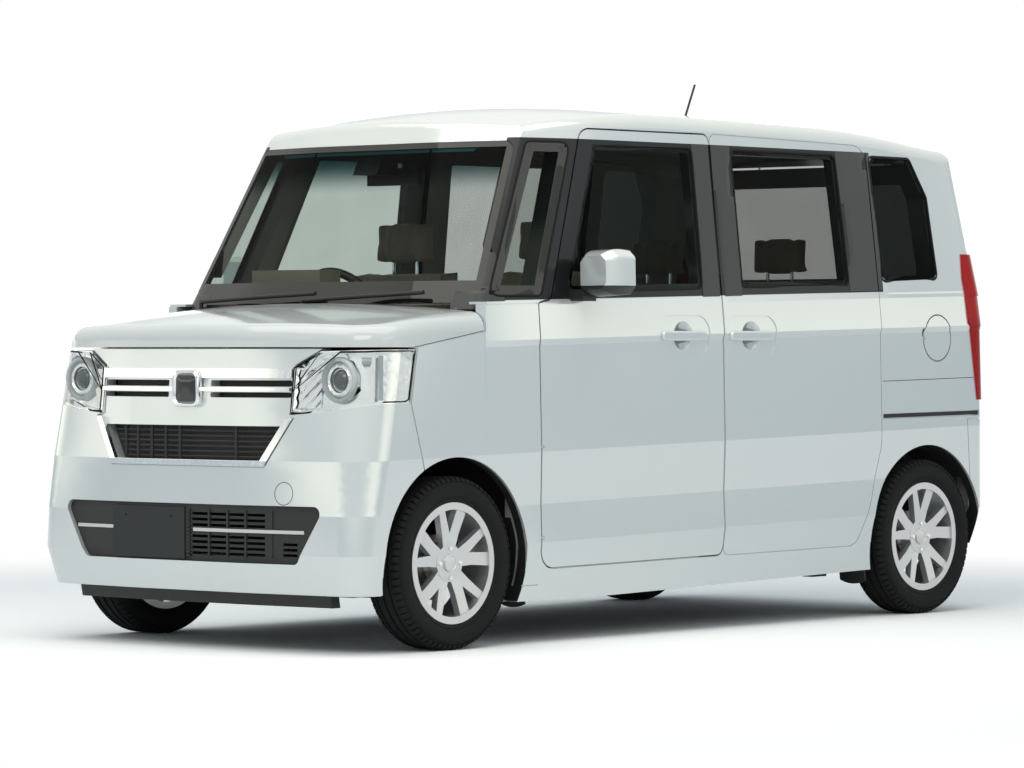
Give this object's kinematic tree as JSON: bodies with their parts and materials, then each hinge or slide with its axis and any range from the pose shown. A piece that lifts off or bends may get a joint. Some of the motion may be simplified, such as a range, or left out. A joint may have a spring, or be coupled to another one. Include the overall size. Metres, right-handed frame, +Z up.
{
  "type": "kei car",
  "caption": "Tall box-shaped kei car with hinged front doors, sliding rear doors, bonnet, tailgate, turning and steering wheels and a hollow cabin with seats.",
  "frame": {"origin": "on the ground, under the middle of the overall box", "axes": "+X to the car's front, +Y to its left, +Z up"},
  "size_m": [3.3945, 1.8042, 1.9137],
  "materials": {
    "body_paint": "gloss",
    "black_plastic": "satin",
    "bright_trim": "polished",
    "plate": "satin",
    "clear_glass": "gloss",
    "privacy_glass": "gloss",
    "lamp_lens": "gloss",
    "lamp_bowl": "polished",
    "lamp_red": "gloss",
    "underbody": "matt",
    "cast_metal": "matt",
    "exhaust_steel": "satin",
    "seat_fabric": "matt",
    "cabin_plastic": "matt",
    "alloy": "satin",
    "tyre_rubber": "matt"
  },
  "bodies": {
    "body": {"front_fenders": "body_paint", "front_bumper": "body_paint", "front_grille": "body_paint", "sliding_doors": "body_paint", "roof_panel": "body_paint", "side_frame_left": "body_paint", "side_frame_right": "body_paint", "rear_bumper": "body_paint", "intake_grilles": "black_plastic", "under_spoiler": "black_plastic", "cowl": "black_plastic", "wipers": "black_plastic", "antenna": "black_plastic", "inside_mirror": "black_plastic", "grille_trim": "bright_trim", "number_plate": "plate", "windscreen": "clear_glass", "quarter_glass": "clear_glass", "sliding_door_glass": "privacy_glass", "headlamp_lenses": "lamp_lens", "headlamp_housings": "lamp_bowl", "tail_lamps": "lamp_red", "floor_pan": "underbody", "front_structure": "underbody", "front_subframe": "underbody", "rear_axle": "underbody", "fuel_tank": "underbody", "radiator": "underbody", "engine": "cast_metal", "exhaust": "exhaust_steel", "front_seats": "seat_fabric", "rear_seat": "seat_fabric", "dashboard": "cabin_plastic"},
    "front_door_left": {"front_door_left": "body_paint", "front_door_glass_left": "clear_glass", "door_mirror_left": "body_paint"},
    "front_door_right": {"front_door_right": "body_paint", "front_door_glass_right": "clear_glass", "door_mirror_right": "body_paint"},
    "tailgate": {"tailgate": "body_paint", "tailgate_glass": "privacy_glass"},
    "bonnet": {"bonnet": "body_paint"},
    "fuel_flap": {"fuel_flap": "body_paint"},
    "steering_wheel": {"steering_wheel": "cabin_plastic"},
    "knuckle_left": {"knuckle_left": "cast_metal"},
    "knuckle_right": {"knuckle_right": "cast_metal"},
    "road_wheel_front_left": {"tyre_front_left": "tyre_rubber", "wheel_front_left": "alloy"},
    "road_wheel_front_right": {"tyre_front_right": "tyre_rubber", "wheel_front_right": "alloy"},
    "road_wheel_rear_left": {"tyre_rear_left": "tyre_rubber", "wheel_rear_left": "alloy"},
    "road_wheel_rear_right": {"tyre_rear_right": "tyre_rubber", "wheel_rear_right": "alloy"}
  },
  "joints": [
    {"name": "front_door_left_hinge", "type": "hinge", "parent": "body", "child": "front_door_left", "pos_m": [0.789, 0.7345, 0.5], "axis": [0, 0, -1], "range_deg": [0, 70]},
    {"name": "front_door_right_hinge", "type": "hinge", "parent": "body", "child": "front_door_right", "pos_m": [0.789, -0.7345, 0.5], "axis": [0, 0, 1], "range_deg": [0, 70]},
    {"name": "tailgate_hinge", "type": "hinge", "parent": "body", "child": "tailgate", "pos_m": [-1.6555, 0, 1.626], "axis": [0, 1, 0], "range_deg": [0, 85]},
    {"name": "bonnet_hinge", "type": "hinge", "parent": "body", "child": "bonnet", "pos_m": [1.06, 0, 1.085], "axis": [0, -1, 0], "range_deg": [0, 50]},
    {"name": "fuel_flap_hinge", "type": "hinge", "parent": "body", "child": "fuel_flap", "pos_m": [-1.3055, 0.7265, 0.991], "axis": [0, 0, -1], "range_deg": [0, 90]},
    {"name": "steering_wheel_turn", "type": "hinge", "parent": "body", "child": "steering_wheel", "pos_m": [0.6, -0.33, 1.06], "axis": [-0.9063, 0, 0.4226], "range_deg": [-540, 540]},
    {"name": "steer_left", "type": "hinge", "parent": "body", "child": "knuckle_left", "pos_m": [1.1995, 0.5775, 0.19], "axis": [0, -0.1736, 0.9848], "range_deg": [-36, 36]},
    {"name": "steer_right", "type": "hinge", "parent": "body", "child": "knuckle_right", "pos_m": [1.1995, -0.5775, 0.19], "axis": [0, 0.1736, 0.9848], "range_deg": [-36, 36]},
    {"name": "wheel_front_left_spin", "type": "hinge", "parent": "knuckle_left", "child": "road_wheel_front_left", "pos_m": [1.1995, 0.6525, 0.277], "axis": [0, 1, 0], "continuous": true},
    {"name": "wheel_front_right_spin", "type": "hinge", "parent": "knuckle_right", "child": "road_wheel_front_right", "pos_m": [1.1995, -0.6525, 0.277], "axis": [0, 1, 0], "continuous": true},
    {"name": "wheel_rear_left_spin", "type": "hinge", "parent": "body", "child": "road_wheel_rear_left", "pos_m": [-1.3205, 0.6525, 0.277], "axis": [0, 1, 0], "continuous": true},
    {"name": "wheel_rear_right_spin", "type": "hinge", "parent": "body", "child": "road_wheel_rear_right", "pos_m": [-1.3205, -0.6525, 0.277], "axis": [0, 1, 0], "continuous": true}
  ],
  "couplings": [
    {"joint": "steer_right", "follows": "steer_left", "ratio": 1},
    {"joint": "steering_wheel_turn", "follows": "steer_left", "ratio": 15}
  ]
}
